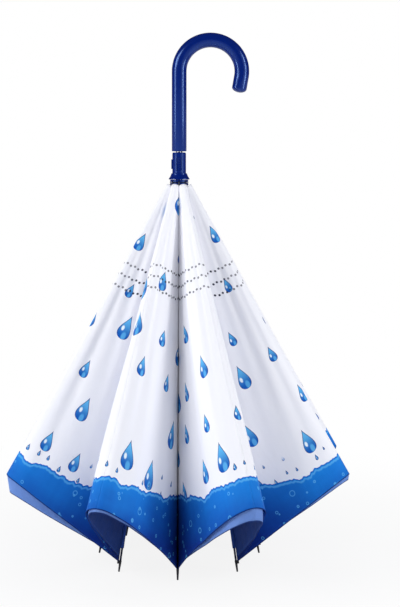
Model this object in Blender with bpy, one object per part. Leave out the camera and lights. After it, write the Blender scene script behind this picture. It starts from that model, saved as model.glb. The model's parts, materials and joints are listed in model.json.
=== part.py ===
"""An inverted umbrella, standing closed on its rib tips with the crook handle on top.

Metres, +Z up. The origin is on the shaft's axis, on the surface that the rib tips stand on.
The runner sits against the handle. It slides down the shaft to open the umbrella: the eight
ribs swing out, the stretchers swing up from the notch, and each gore of the inner canopy
unfolds at its two ribs.
"""

import math

import bmesh
import bpy
from mathutils import Matrix, Vector

MM = 0.001
CLEARANCE = 0.3 * MM
CUT_OVERRUN = 2 * MM

RIB_COUNT = 8
RIB_PITCH = 2 * math.pi / RIB_COUNT
HALF_PITCH = RIB_PITCH / 2
FIRST_RIB_AZIMUTH = -math.pi / 2
REST_RIB_ANGLE = math.radians(11)
OPEN_RIB_ANGLE = math.radians(110)
FOLD_ANGLE = math.radians(50)

SHAFT_RADIUS = 5.0 * MM
SHAFT_WALL = 0.9 * MM
SHAFT_IN_HANDLE = 60 * MM

RIB_LENGTH = 580 * MM
RIB_RADIUS = 1.5 * MM
RIB_EYE_RADIUS = 2.2 * MM
RIB_EYE_WIDTH = 2.6 * MM
RIB_JOINT_REACH = 120 * MM
RIB_JOINT_DROP = 16 * MM
BRACKET_LENGTH = 8 * MM
BRACKET_WIDTH = 2.8 * MM
BRACKET_PAST_JOINT = 2.2 * MM
TIP_LENGTH = 16 * MM
TIP_RADIUS = 2.1 * MM
TIP_POINT_RADIUS = 1.2 * MM
TIP_SOCKET_DEPTH = 9 * MM
TIP_EAR_LENGTH = 4 * MM
TIP_EAR_WIDTH = 2 * MM

HUB_HINGE_RADIUS = 12 * MM
HUB_OUTER_RADIUS = 14 * MM
HUB_ABOVE_HINGE = 4.2 * MM
HUB_BELOW_HINGE = 5 * MM
SLOT_WIDTH = 3.6 * MM
SLOT_ABOVE_HINGE = 2.8 * MM
SLOT_FLOOR_RADIUS = 9.2 * MM
WIRE_RADIUS = 0.55 * MM
WIRE_CLEARANCE = 0.3 * MM

RUNNER_RADIUS = 10.5 * MM
RUNNER_LENGTH = 41.5 * MM
RUNNER_CLEARANCE = 0.35 * MM
RUNNER_LIP_HEIGHT = 1.6 * MM
RUNNER_LIP_INSET = 0.7 * MM
SKIRT_HEIGHT = 9.5 * MM
SKIRT_TOP_RADIUS = 12.2 * MM
SKIRT_BASE_RADIUS = 16.0 * MM
SKIRT_LIP_HEIGHT = 1.4 * MM
GRIP_WIDTH = 7.0 * MM
GRIP_LENGTH = 19 * MM
GRIP_DEPTH = 2.0 * MM
GRIP_STANDS_OUT = 0.5 * MM
GRIP_RIDGES = 6
GRIP_RIDGE_HEIGHT = 0.7 * MM
GRIP_RIDGE_SHARE = 0.5
BUTTON_WIDTH = 6.0 * MM
BUTTON_LENGTH = 15 * MM
BUTTON_DEPTH = 3.0 * MM
BUTTON_STANDS_OUT = 1.6 * MM
BUTTON_TRAVEL = 1.2 * MM
BUTTON_BEVEL = 0.8 * MM
BUTTON_ABOVE_SKIRT = 6.5 * MM
SPRING_THICKNESS = 0.4 * MM
POCKET_SPARE = 1.0 * MM

HANDLE_RADIUS = 11.3 * MM
HANDLE_STRAIGHT = 123 * MM
HANDLE_GAP = 1.8 * MM
HOOK_RADIUS = 48.3 * MM
HOOK_TURN = math.radians(190)
HOOK_END_STRAIGHT = 24.5 * MM
HANDLE_FOOT_BEVEL = 0.8 * MM
HANDLE_END_BEVEL = 2.6 * MM

OPEN_HINGE_GAP = 180 * MM
NOTCH_HINGE_RADIUS = 9 * MM
NOTCH_OUTER_RADIUS = 11 * MM
NOTCH_ABOVE_HINGE = 3.4 * MM
NOTCH_BELOW_HINGE = 5.0 * MM
NOTCH_SLOT_FLOOR_RADIUS = 6.6 * MM
NOTCH_SLOT_BELOW = 2.8 * MM
FERRULE_LENGTH = 26 * MM
FERRULE_RADIUS = 7.4 * MM
FERRULE_POINT_RADIUS = 3.6 * MM
FERRULE_WALL = 1.4 * MM

STRETCHER_WIDTH = 2.6 * MM
STRETCHER_DEPTH = 3.0 * MM
STRETCHER_EYE_RADIUS = 2.1 * MM
FORK_LENGTH = 22 * MM
FORK_GAP = 3.8 * MM
FORK_TINE = 0.9 * MM
FORK_PAST_JOINT = 0.8 * MM

FABRIC_THICKNESS = 0.8 * MM
FABRIC_OFF_RIB = 2.6 * MM
FABRIC_RIB_CLEAR = 3.1 * MM
FABRIC_SEAM_GAP = 0.9 * MM
FABRIC_TOP_SEAM_GAP = 1.9 * MM
FABRIC_RIB_TOP = 8 * MM
FABRIC_RIDGE_TOP = 6 * MM
FABRIC_RIB_END = 566 * MM
FABRIC_RIDGE_END = 495 * MM
SIDE_FLARE = math.radians(16)
SIDE_SHARE = 0.6
CROWN_SHARE = 0.65
HEM_DROP_SHARE = 0.35
ACROSS_STEPS = 8
DOWN_STEPS = 5

OUTER_TOP_BELOW_JOINT = 30 * MM
OUTER_OFF_STRETCHER = 4 * MM
OUTER_CROWN_STEP = 3 * MM
OUTER_INSIDE_RIB = 3.6 * MM
OUTER_HEM_AT_RIB = 16 * MM
OUTER_HEM_DROP = 20 * MM
OUTER_HEM_INSIDE_RIDGE = 16 * MM
OUTER_TOP_INSIDE_RIDGE = 26 * MM
OUTER_COLUMNS_PER_GORE = 6
OUTER_ROWS = 4

ROUND_STEPS = 32
HANDLE_SIDES = 24
HOOK_STEPS = 22
ROD_STEPS = 8
WIRE_STEPS = 48
WIRE_SIDES = 6

HINGE_HEIGHT = RIB_LENGTH * math.cos(REST_RIB_ANGLE)
SKIRT_BASE = HINGE_HEIGHT + HUB_ABOVE_HINGE + CLEARANCE
RUNNER_TOP = SKIRT_BASE + RUNNER_LENGTH
HANDLE_FOOT = RUNNER_TOP + HANDLE_GAP
HOOK_CENTRE = Vector((HOOK_RADIUS, 0, HANDLE_FOOT + HANDLE_STRAIGHT))


def stretcher_facts():
    """(stretcher length, hinge distance at rest, rest angle, open angle), angles from +Z."""

    def joint(angle):
        out = RIB_JOINT_REACH * math.sin(angle) - RIB_JOINT_DROP * math.cos(angle)
        down = RIB_JOINT_REACH * math.cos(angle) + RIB_JOINT_DROP * math.sin(angle)
        return HUB_HINGE_RADIUS - NOTCH_HINGE_RADIUS + out, down

    out_open, down_open = joint(OPEN_RIB_ANGLE)
    up_open = OPEN_HINGE_GAP - down_open
    length = math.hypot(out_open, up_open)
    out_rest, down_rest = joint(REST_RIB_ANGLE)
    up_rest = math.sqrt(length**2 - out_rest**2)
    gap_rest = up_rest + down_rest
    rest_angle = math.atan2(out_rest, up_rest)
    return length, gap_rest, rest_angle, math.atan2(out_open, up_open)


STRETCHER_LENGTH, REST_HINGE_GAP, STRETCHER_REST_ANGLE, STRETCHER_OPEN_ANGLE = stretcher_facts()
RUNNER_TRAVEL = REST_HINGE_GAP - OPEN_HINGE_GAP
NOTCH_HEIGHT = HINGE_HEIGHT - REST_HINGE_GAP
NOTCH_BASE = NOTCH_HEIGHT - NOTCH_BELOW_HINGE

RIB_LINE = Vector((math.sin(REST_RIB_ANGLE), 0, -math.cos(REST_RIB_ANGLE)))
RIB_OUTWARD = Vector((math.cos(REST_RIB_ANGLE), 0, math.sin(REST_RIB_ANGLE)))
RIB_HINGE = Vector((HUB_HINGE_RADIUS, 0, HINGE_HEIGHT))
FOLD_POINT = RIB_HINGE + RIB_OUTWARD * FABRIC_OFF_RIB
MIDDLE_NORMAL = Vector((-math.sin(HALF_PITCH), math.cos(HALF_PITCH), 0))


def turn_about(point, axis, angle):
    """The matrix of a turn about the line through point."""
    there = Matrix.Translation(point)
    return there @ Matrix.Rotation(angle, 4, axis) @ there.inverted()


def ridge_line(fold_angle):
    """The line of a gore's left half that lies in the gore's middle plane, both closed and open."""
    swing = turn_about(RIB_HINGE, Vector((0, -1, 0)), OPEN_RIB_ANGLE - REST_RIB_ANGLE)
    motion = swing @ turn_about(FOLD_POINT, -RIB_LINE, fold_angle)
    open_normal = motion.to_3x3().transposed() @ MIDDLE_NORMAL
    open_offset = -MIDDLE_NORMAL.dot(motion.translation)
    along = MIDDLE_NORMAL.cross(open_normal).normalized()
    if along.z > 0:
        along.negate()
    rows = Matrix((MIDDLE_NORMAL, open_normal, along))
    start = rows.inverted() @ Vector((0, open_offset, along.dot(FOLD_POINT)))
    return start, along


RIDGE_START, RIDGE_ALONG = ridge_line(FOLD_ANGLE)


def clear_scene():
    for old in list(bpy.data.objects):
        bpy.data.objects.remove(old, do_unlink=True)


def material(name, colour, roughness, metallic=0.0):
    made = bpy.data.materials.new(name)
    made.use_nodes = True
    shader = made.node_tree.nodes["Principled BSDF"]
    shader.inputs["Base Color"].default_value = (*colour, 1)
    shader.inputs["Roughness"].default_value = roughness
    shader.inputs["Metallic"].default_value = metallic
    made.diffuse_color = (*colour, 1)
    return made


def finish_mesh(name, bm, finish, smooth_angle=35):
    """Writes bm to a new object with its normals out."""
    bmesh.ops.recalc_face_normals(bm, faces=bm.faces)
    mesh = bpy.data.meshes.new(name)
    bm.to_mesh(mesh)
    bm.free()
    mesh.shade_smooth()
    mesh.set_sharp_from_angle(angle=math.radians(smooth_angle))
    mesh.materials.append(finish)
    made = bpy.data.objects.new(name, mesh)
    bpy.context.scene.collection.objects.link(made)
    return made


def turned_mesh(profile, steps=ROUND_STEPS):
    """A closed (radius, height) outline spun about Z."""
    bm = bmesh.new()
    points = [bm.verts.new((radius, 0, height)) for radius, height in profile]
    edges = [bm.edges.new((points[i - 1], points[i])) for i in range(len(points))]
    bmesh.ops.spin(
        bm, geom=points + edges, cent=(0, 0, 0), axis=(0, 0, 1),
        angle=2 * math.pi, steps=steps, use_merge=True,
    )
    return bm


def turned(name, profile, finish, steps=ROUND_STEPS):
    return finish_mesh(name, turned_mesh(profile, steps), finish)


def box_into(bm, low, high, matrix=None):
    """Adds a box between two corners."""
    centre = (Vector(low) + Vector(high)) / 2
    size = Vector(high) - Vector(low)
    place = Matrix.Translation(centre) @ Matrix.Diagonal((*size, 1))
    bmesh.ops.create_cube(bm, size=1, matrix=(matrix or Matrix.Identity(4)) @ place)


def cylinder_into(bm, start, end, radius, end_radius=None, steps=ROD_STEPS):
    """Adds a capped cylinder or cone between two points."""
    start, end = Vector(start), Vector(end)
    along = end - start
    turn = along.to_track_quat("Z", "Y").to_matrix().to_4x4()
    place = Matrix.Translation((start + end) / 2) @ turn
    bmesh.ops.create_cone(
        bm, cap_ends=True, segments=steps, radius1=radius,
        radius2=radius if end_radius is None else end_radius, depth=along.length, matrix=place,
    )


def helper(name, bm):
    """A cutter or an added shape that a Boolean reads. It isn't part of the object."""
    bmesh.ops.recalc_face_normals(bm, faces=bm.faces)
    mesh = bpy.data.meshes.new(name)
    bm.to_mesh(mesh)
    bm.free()
    made = bpy.data.objects.new(name, mesh)
    bpy.context.scene.collection.objects.link(made)
    made.hide_render = True
    made.display_type = "WIRE"
    return made


def boolean(piece, other, operation):
    step = piece.modifiers.new(other.name, "BOOLEAN")
    step.operation = operation
    step.solver = "EXACT"
    step.object = other
    return piece


def azimuth_of(index):
    return FIRST_RIB_AZIMUTH + index * RIB_PITCH


def around(index):
    """The turn from the first radial plane, which holds +X, to that of rib index."""
    return Matrix.Rotation(azimuth_of(index), 4, "Z")


def place(piece, matrix, pivot):
    """Turns a piece that was modelled in the +X radial plane to its place, with its origin at pivot."""
    piece.data.transform(Matrix.Translation(-Vector(pivot)))
    piece.matrix_world = matrix @ Matrix.Translation(pivot)
    return piece


def build_shaft(finish):
    top = HANDLE_FOOT + SHAFT_IN_HANDLE
    inner = SHAFT_RADIUS - SHAFT_WALL
    outline = [(inner, NOTCH_BASE), (SHAFT_RADIUS, NOTCH_BASE), (SHAFT_RADIUS, top), (inner, top)]
    turned("shaft_tube", outline, finish)


def pulled(bm, face, matrix):
    """Extrudes a face and moves the new one by matrix. It returns the new face."""
    inside = any(len(edge.link_faces) > 1 for edge in face.edges)
    made = bmesh.ops.extrude_face_region(bm, geom=[face])["geom"]
    if inside:
        bmesh.ops.delete(bm, geom=[face], context="FACES_ONLY")
    bmesh.ops.transform(bm, matrix=matrix, verts=[g for g in made if isinstance(g, bmesh.types.BMVert)])
    return next(g for g in made if isinstance(g, bmesh.types.BMFace))


def build_handle(finish):
    """The crook: a straight grip, a hook of just over half a turn and a short straight end."""
    bm = bmesh.new()
    bmesh.ops.create_circle(
        bm, cap_ends=True, radius=HANDLE_RADIUS, segments=HANDLE_SIDES,
        matrix=Matrix.Translation((0, 0, HANDLE_FOOT)),
    )
    foot_edges = list(bm.edges)
    bm.faces.ensure_lookup_table()
    face = pulled(bm, bm.faces[0], Matrix.Translation((0, 0, HANDLE_STRAIGHT)))
    step = turn_about(HOOK_CENTRE, Vector((0, 1, 0)), HOOK_TURN / HOOK_STEPS)
    for _ in range(HOOK_STEPS):
        face = pulled(bm, face, step)
    past = HOOK_TURN - math.pi
    end_way = Vector((-math.sin(past), 0, -math.cos(past)))
    face = pulled(bm, face, Matrix.Translation(end_way * HOOK_END_STRAIGHT))
    bmesh.ops.bevel(
        bm, geom=list(face.edges), offset=HANDLE_END_BEVEL, segments=3, profile=0.5, affect="EDGES",
        material=-1,
    )
    bmesh.ops.bevel(
        bm, geom=foot_edges, offset=HANDLE_FOOT_BEVEL, segments=1, profile=0.5, affect="EDGES", material=-1
    )
    handle = finish_mesh("crook_handle", bm, finish)
    cut = bmesh.new()
    cylinder_into(
        cut, (0, 0, HANDLE_FOOT - CUT_OVERRUN), (0, 0, HANDLE_FOOT + SHAFT_IN_HANDLE + CLEARANCE),
        SHAFT_RADIUS + CLEARANCE, steps=ROUND_STEPS,
    )
    boolean(handle, helper("handle_bore", cut), "DIFFERENCE")


def slotted_ring(name, inner, outer, low, high, hinge, hinge_radius, floor, slot_low, slot_high, finish):
    """A ring with one slot for each rib or stretcher, and the groove that holds their wire."""
    ring = turned(name, [(inner, low), (outer, low), (outer, high), (inner, high)], finish)
    cut = bmesh.new()
    for index in range(RIB_COUNT):
        box_into(
            cut, (floor, -SLOT_WIDTH / 2, slot_low), (outer + CUT_OVERRUN, SLOT_WIDTH / 2, slot_high),
            around(index),
        )
    boolean(ring, helper(name + "_slots", cut), "DIFFERENCE")
    groove = WIRE_RADIUS + WIRE_CLEARANCE
    outline = [
        (hinge_radius - groove, hinge - groove), (outer + CUT_OVERRUN, hinge - groove),
        (outer + CUT_OVERRUN, hinge + groove), (hinge_radius - groove, hinge + groove),
    ]
    boolean(ring, helper(name + "_groove", turned_mesh(outline)), "DIFFERENCE")
    return ring


def hinge_wire(name, ring_radius, height, finish):
    """The wire that threads the eyes round a hub."""
    outline = [
        (
            ring_radius + WIRE_RADIUS * math.cos(2 * math.pi * side / WIRE_SIDES),
            height + WIRE_RADIUS * math.sin(2 * math.pi * side / WIRE_SIDES),
        )
        for side in range(WIRE_SIDES)
    ]
    turned(name, outline, finish, steps=WIRE_STEPS)


def build_notch(finish, metal):
    slotted_ring(
        "top_notch", SHAFT_RADIUS + CLEARANCE, NOTCH_OUTER_RADIUS, NOTCH_BASE,
        NOTCH_HEIGHT + NOTCH_ABOVE_HINGE, NOTCH_HEIGHT, NOTCH_HINGE_RADIUS, NOTCH_SLOT_FLOOR_RADIUS,
        NOTCH_HEIGHT - NOTCH_SLOT_BELOW, NOTCH_HEIGHT + NOTCH_ABOVE_HINGE + CUT_OVERRUN, finish,
    )
    hinge_wire("notch_wire", NOTCH_HINGE_RADIUS, NOTCH_HEIGHT, metal)


def build_ferrule(finish):
    """The cap on the shaft's lower end."""
    top = NOTCH_BASE - CLEARANCE
    outline = [
        (0.0, top - FERRULE_LENGTH), (FERRULE_POINT_RADIUS, top - FERRULE_LENGTH),
        (FERRULE_RADIUS - FERRULE_WALL, top - FERRULE_LENGTH / 2), (FERRULE_RADIUS, top - FERRULE_WALL),
        (FERRULE_RADIUS, top), (0.0, top),
    ]
    bm = bmesh.new()
    points = [bm.verts.new((radius, 0, height)) for radius, height in outline]
    edges = [bm.edges.new((points[i], points[i + 1])) for i in range(len(points) - 1)]
    bmesh.ops.spin(
        bm, geom=points + edges, cent=(0, 0, 0), axis=(0, 0, 1), angle=2 * math.pi, steps=24, use_merge=True
    )
    bmesh.ops.remove_doubles(bm, verts=bm.verts, dist=CLEARANCE / 10)
    finish_mesh("ferrule_cap", bm, finish)


def build_runner(finish, metal, pad):
    """The sleeve, its flared skirt, the rib hub below it, the thumb grip and the release button."""
    bore = SHAFT_RADIUS + RUNNER_CLEARANCE
    skirt_top = SKIRT_BASE + SKIRT_HEIGHT
    sleeve = turned(
        "runner_sleeve",
        [
            (bore, SKIRT_BASE), (RUNNER_RADIUS, SKIRT_BASE), (RUNNER_RADIUS, RUNNER_TOP - RUNNER_LIP_HEIGHT),
            (RUNNER_RADIUS - RUNNER_LIP_INSET, RUNNER_TOP), (bore, RUNNER_TOP),
        ],
        finish,
    )
    inner = RUNNER_RADIUS + CLEARANCE
    turned(
        "runner_skirt",
        [
            (inner, SKIRT_BASE), (SKIRT_BASE_RADIUS, SKIRT_BASE),
            (SKIRT_BASE_RADIUS, SKIRT_BASE + SKIRT_LIP_HEIGHT),
            (SKIRT_TOP_RADIUS, skirt_top - SKIRT_LIP_HEIGHT), (SKIRT_TOP_RADIUS, skirt_top),
            (inner, skirt_top),
        ],
        finish,
    )
    slotted_ring(
        "rib_hub", bore, HUB_OUTER_RADIUS, HINGE_HEIGHT - HUB_BELOW_HINGE, HINGE_HEIGHT + HUB_ABOVE_HINGE,
        HINGE_HEIGHT, HUB_HINGE_RADIUS, SLOT_FLOOR_RADIUS, HINGE_HEIGHT - HUB_BELOW_HINGE - CUT_OVERRUN,
        HINGE_HEIGHT + SLOT_ABOVE_HINGE, finish,
    )
    hinge_wire("hub_wire", HUB_HINGE_RADIUS, HINGE_HEIGHT, metal)

    grip_low = skirt_top + BUTTON_ABOVE_SKIRT - (GRIP_LENGTH - BUTTON_LENGTH) / 2
    grip_face = RUNNER_RADIUS + GRIP_STANDS_OUT
    grip_back = grip_face - GRIP_DEPTH
    pocket = bmesh.new()
    box_into(
        pocket,
        (-GRIP_WIDTH / 2 - CLEARANCE, -RUNNER_RADIUS - CUT_OVERRUN, grip_low - CLEARANCE),
        (GRIP_WIDTH / 2 + CLEARANCE, -grip_back + CLEARANCE, grip_low + GRIP_LENGTH + CLEARANCE),
    )
    boolean(sleeve, helper("grip_pocket", pocket), "DIFFERENCE")
    bm = bmesh.new()
    box_into(
        bm, (-GRIP_WIDTH / 2, -grip_face, grip_low),
        (GRIP_WIDTH / 2, -grip_back, grip_low + GRIP_LENGTH),
    )
    grip = finish_mesh("thumb_grip", bm, pad)
    pitch = GRIP_LENGTH / GRIP_RIDGES
    ridges = bmesh.new()
    for index in range(GRIP_RIDGES):
        middle = grip_low + (index + GRIP_RIDGE_SHARE) * pitch
        half = pitch * GRIP_RIDGE_SHARE / 2
        box_into(
            ridges,
            (-GRIP_WIDTH / 2 + CLEARANCE, -grip_face - GRIP_RIDGE_HEIGHT, middle - half),
            (GRIP_WIDTH / 2 - CLEARANCE, -grip_back - CLEARANCE, middle + half),
        )
    boolean(grip, helper("grip_ridges", ridges), "UNION")

    button_low = skirt_top + BUTTON_ABOVE_SKIRT
    button_face = RUNNER_RADIUS + BUTTON_STANDS_OUT
    button_back = button_face - BUTTON_DEPTH
    pocket_back = button_back - BUTTON_TRAVEL - SPRING_THICKNESS - POCKET_SPARE
    cut = bmesh.new()
    box_into(
        cut,
        (-RUNNER_RADIUS - CUT_OVERRUN, -BUTTON_WIDTH / 2 - CLEARANCE, button_low - CLEARANCE),
        (-pocket_back, BUTTON_WIDTH / 2 + CLEARANCE, button_low + BUTTON_LENGTH + CLEARANCE),
    )
    boolean(sleeve, helper("button_pocket", cut), "DIFFERENCE")
    bm = bmesh.new()
    box_into(
        bm, (-button_face, -BUTTON_WIDTH / 2, button_low),
        (-button_back, BUTTON_WIDTH / 2, button_low + BUTTON_LENGTH),
    )
    button = finish_mesh("release_button", bm, finish)
    rounding = button.modifiers.new("rounding", "BEVEL")
    rounding.width = BUTTON_BEVEL
    rounding.segments = 3
    spring = bmesh.new()
    box_into(
        spring,
        (-pocket_back - CLEARANCE - SPRING_THICKNESS, -BUTTON_WIDTH / 2 + CLEARANCE, button_low + CLEARANCE),
        (-pocket_back - CLEARANCE, BUTTON_WIDTH / 2 - CLEARANCE, button_low + BUTTON_LENGTH - CLEARANCE),
    )
    finish_mesh("button_spring_leaf", spring, metal)


def eye_into(bm, point, radius, width, steps=12):
    """Adds an eye whose axis is along Y."""
    half = Vector((0, width / 2, 0))
    cylinder_into(bm, Vector(point) - half, Vector(point) + half, radius, steps=steps)


def eye_hole(name, point, width):
    cut = bmesh.new()
    hole = WIRE_RADIUS + WIRE_CLEARANCE
    eye_into(cut, point, hole, width + 2 * CUT_OVERRUN, steps=8)
    return helper(name, cut)


def build_rib(index, finish, dark):
    """A round rod with its hinge eye and the bracket that the stretcher's fork straddles, and its tip cap."""
    turn = around(index)
    end = RIB_HINGE + RIB_LINE * (RIB_LENGTH - TIP_LENGTH + TIP_SOCKET_DEPTH)
    start = RIB_HINGE + RIB_LINE * (RIB_EYE_RADIUS / 2 + WIRE_RADIUS)
    bm = bmesh.new()
    cylinder_into(bm, start, end, RIB_RADIUS)
    rod = finish_mesh(f"rib_{index}", bm, finish)
    boss = bmesh.new()
    eye_into(boss, RIB_HINGE, RIB_EYE_RADIUS, RIB_EYE_WIDTH)
    boolean(rod, helper(f"rib_eye_{index}", boss), "UNION")
    bracket = bmesh.new()
    box_into(
        bracket, (-RIB_JOINT_DROP - BRACKET_PAST_JOINT, -BRACKET_WIDTH / 2, -BRACKET_LENGTH / 2),
        (RIB_RADIUS / 2, BRACKET_WIDTH / 2, BRACKET_LENGTH / 2),
        Matrix.Translation(RIB_HINGE + RIB_LINE * RIB_JOINT_REACH) @ Matrix.Rotation(-REST_RIB_ANGLE, 4, "Y"),
    )
    boolean(rod, helper(f"rib_bracket_{index}", bracket), "UNION")
    boolean(rod, eye_hole(f"rib_eye_hole_{index}", RIB_HINGE, RIB_EYE_WIDTH), "DIFFERENCE")
    for name in (f"rib_eye_{index}", f"rib_bracket_{index}", f"rib_eye_hole_{index}"):
        place(bpy.data.objects[name], turn, RIB_HINGE)
    place(rod, turn, RIB_HINGE)

    point = RIB_HINGE + RIB_LINE * (RIB_LENGTH - TIP_POINT_RADIUS * math.tan(REST_RIB_ANGLE))
    back = RIB_HINGE + RIB_LINE * (RIB_LENGTH - TIP_LENGTH)
    bm = bmesh.new()
    cylinder_into(bm, back, point, TIP_RADIUS, TIP_POINT_RADIUS, steps=12)
    tip = finish_mesh(f"rib_tip_{index}", bm, dark)
    ear = bmesh.new()
    box_into(
        ear, (0, -TIP_EAR_WIDTH / 2, CLEARANCE),
        (FABRIC_OFF_RIB + FABRIC_RIB_CLEAR - 2 * CLEARANCE, TIP_EAR_WIDTH / 2, TIP_EAR_LENGTH),
        Matrix.Translation(back) @ Matrix.Rotation(math.pi - REST_RIB_ANGLE, 4, "Y")
        @ Matrix.Scale(-1, 4, (1, 0, 0)),
    )
    boolean(tip, helper(f"tip_ear_{index}", ear), "UNION")
    socket = bmesh.new()
    cylinder_into(
        socket, back - RIB_LINE * CUT_OVERRUN, end + RIB_LINE * CLEARANCE, RIB_RADIUS + CLEARANCE / 2
    )
    boolean(tip, helper(f"tip_socket_{index}", socket), "DIFFERENCE")
    for name in (f"tip_ear_{index}", f"tip_socket_{index}"):
        place(bpy.data.objects[name], turn, RIB_HINGE)
    place(tip, turn, RIB_HINGE)


def build_stretcher(index, metal):
    """A bar from the notch that ends in a fork, whose two tines straddle the rib's bracket."""
    pivot = Vector((NOTCH_HINGE_RADIUS, 0, NOTCH_HEIGHT))
    lean = Matrix.Translation(pivot) @ Matrix.Rotation(STRETCHER_REST_ANGLE, 4, "Y")
    fork_start = STRETCHER_LENGTH - FORK_LENGTH
    deep = STRETCHER_DEPTH / 2
    outer = FORK_GAP / 2 + FORK_TINE
    bm = bmesh.new()
    box_into(
        bm, (-deep, -STRETCHER_WIDTH / 2, STRETCHER_EYE_RADIUS / 2 + WIRE_RADIUS),
        (deep, STRETCHER_WIDTH / 2, fork_start), lean,
    )
    bar = finish_mesh(f"stretcher_{index}", bm, metal)
    fork = bmesh.new()
    box_into(
        fork, (-deep + CLEARANCE, -outer, fork_start - STRETCHER_DEPTH),
        (deep - CLEARANCE, outer, STRETCHER_LENGTH + FORK_PAST_JOINT), lean,
    )
    gap = bmesh.new()
    box_into(
        gap, (-deep - CUT_OVERRUN, -FORK_GAP / 2, fork_start + FORK_TINE),
        (deep + CUT_OVERRUN, FORK_GAP / 2, STRETCHER_LENGTH + FORK_PAST_JOINT + CUT_OVERRUN), lean,
    )
    eye = bmesh.new()
    eye_into(eye, pivot, STRETCHER_EYE_RADIUS, STRETCHER_WIDTH + CLEARANCE)
    boolean(bar, helper(f"fork_{index}", fork), "UNION")
    boolean(bar, helper(f"fork_gap_{index}", gap), "DIFFERENCE")
    boolean(bar, helper(f"stretcher_eye_{index}", eye), "UNION")
    boolean(bar, eye_hole(f"stretcher_hole_{index}", pivot, STRETCHER_WIDTH), "DIFFERENCE")
    turn = around(index)
    names = ("fork", "fork_gap", "stretcher_eye", "stretcher_hole")
    for piece in [bar] + [bpy.data.objects[f"{name}_{index}"] for name in names]:
        place(piece, turn, pivot)


def bezier(a, b, c, d, share):
    """A point of a cubic curve."""
    rest = 1 - share
    return a * rest**3 + b * (3 * rest**2 * share) + c * (3 * rest * share**2) + d * share**3


def gore_curve(rib_reach, ridge_reach, seam_gap, share):
    """Across a gore's left half at one level: share 0 is at the rib and 1 at the ridge."""
    outward = Vector((math.cos(SIDE_FLARE), math.sin(SIDE_FLARE), 0))
    rib_point = FOLD_POINT + RIB_LINE * rib_reach + outward * FABRIC_RIB_CLEAR
    ridge_point = RIDGE_START + RIDGE_ALONG * ridge_reach - MIDDLE_NORMAL * seam_gap
    depth = math.hypot(ridge_point.x, ridge_point.y) - math.hypot(rib_point.x, rib_point.y)
    drop = ridge_point.z - rib_point.z
    half_width = -MIDDLE_NORMAL.dot(rib_point)
    side = rib_point + outward * (depth * SIDE_SHARE) + Vector((0, 0, drop * HEM_DROP_SHARE))
    crown = ridge_point - MIDDLE_NORMAL * (half_width * CROWN_SHARE)
    return bezier(rib_point, side, crown, ridge_point, share)


def gore_point(across, down):
    """A point of a gore's left half. Straight lines run from the hub to the hem."""
    top = gore_curve(FABRIC_RIB_TOP, FABRIC_RIDGE_TOP, FABRIC_TOP_SEAM_GAP, across)
    hem = gore_curve(FABRIC_RIB_END, FABRIC_RIDGE_END, FABRIC_SEAM_GAP, across)
    return top.lerp(hem, down)


def build_half_gore(index, side, finish):
    """One half of a gore, from a rib to the gore's ridge. Side 1 is counter-clockwise of the rib."""
    bm = bmesh.new()
    bmesh.ops.create_grid(bm, x_segments=ACROSS_STEPS, y_segments=DOWN_STEPS, size=1)
    for vertex in bm.verts:
        across, down = (vertex.co.x + 1) / 2, (vertex.co.y + 1) / 2
        point = gore_point(across, down)
        vertex.co = Vector((point.x, side * point.y, point.z))
    bmesh.ops.recalc_face_normals(bm, faces=bm.faces)
    bmesh.ops.solidify(bm, geom=bm.faces, thickness=FABRIC_THICKNESS / 2)
    label = "left" if side > 0 else "right"
    half = finish_mesh(f"inner_gore_{index}_{label}", bm, finish, smooth_angle=60)
    place(half, around(index), FOLD_POINT)


def outer_rings(share):
    """(radius, height) of each ring of the folded outer canopy. Share 0 is at a rib and 1 at a ridge."""
    swell = math.sin(share * math.pi / 2) ** 2
    joint_height = HINGE_HEIGHT - RIB_JOINT_REACH * math.cos(REST_RIB_ANGLE)
    top = joint_height - OUTER_TOP_BELOW_JOINT
    hem_end = RIDGE_START + RIDGE_ALONG * FABRIC_RIDGE_END
    hem = OUTER_HEM_AT_RIB + (hem_end.z - OUTER_HEM_DROP - OUTER_HEM_AT_RIB) * swell
    top_middle = RIDGE_START + RIDGE_ALONG * ((RIDGE_START.z - top) / -RIDGE_ALONG.z)
    middle_top = math.hypot(top_middle.x, top_middle.y) - OUTER_TOP_INSIDE_RIDGE
    middle_hem = math.hypot(hem_end.x, hem_end.y) - OUTER_HEM_INSIDE_RIDGE
    rings = []
    for row in range(OUTER_ROWS + 1):
        down = row / OUTER_ROWS
        height = top + (hem - top) * down
        at_rib = HUB_HINGE_RADIUS + (HINGE_HEIGHT - height) * math.tan(REST_RIB_ANGLE) - OUTER_INSIDE_RIB
        at_ridge = middle_top + (middle_hem - middle_top) * down
        rings.append((at_rib + (at_ridge - at_rib) * swell, height))
    stretcher_out = NOTCH_HINGE_RADIUS + (top - NOTCH_HEIGHT) * math.tan(STRETCHER_REST_ANGLE)
    inner_top = stretcher_out + OUTER_OFF_STRETCHER
    inner_low = NOTCH_HEIGHT + NOTCH_ABOVE_HINGE
    crown = NOTCH_OUTER_RADIUS + CLEARANCE + FABRIC_THICKNESS
    folded = [(crown, NOTCH_BASE), (crown + OUTER_CROWN_STEP, inner_low), (inner_top, top - OUTER_CROWN_STEP)]
    return folded + rings


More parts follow.
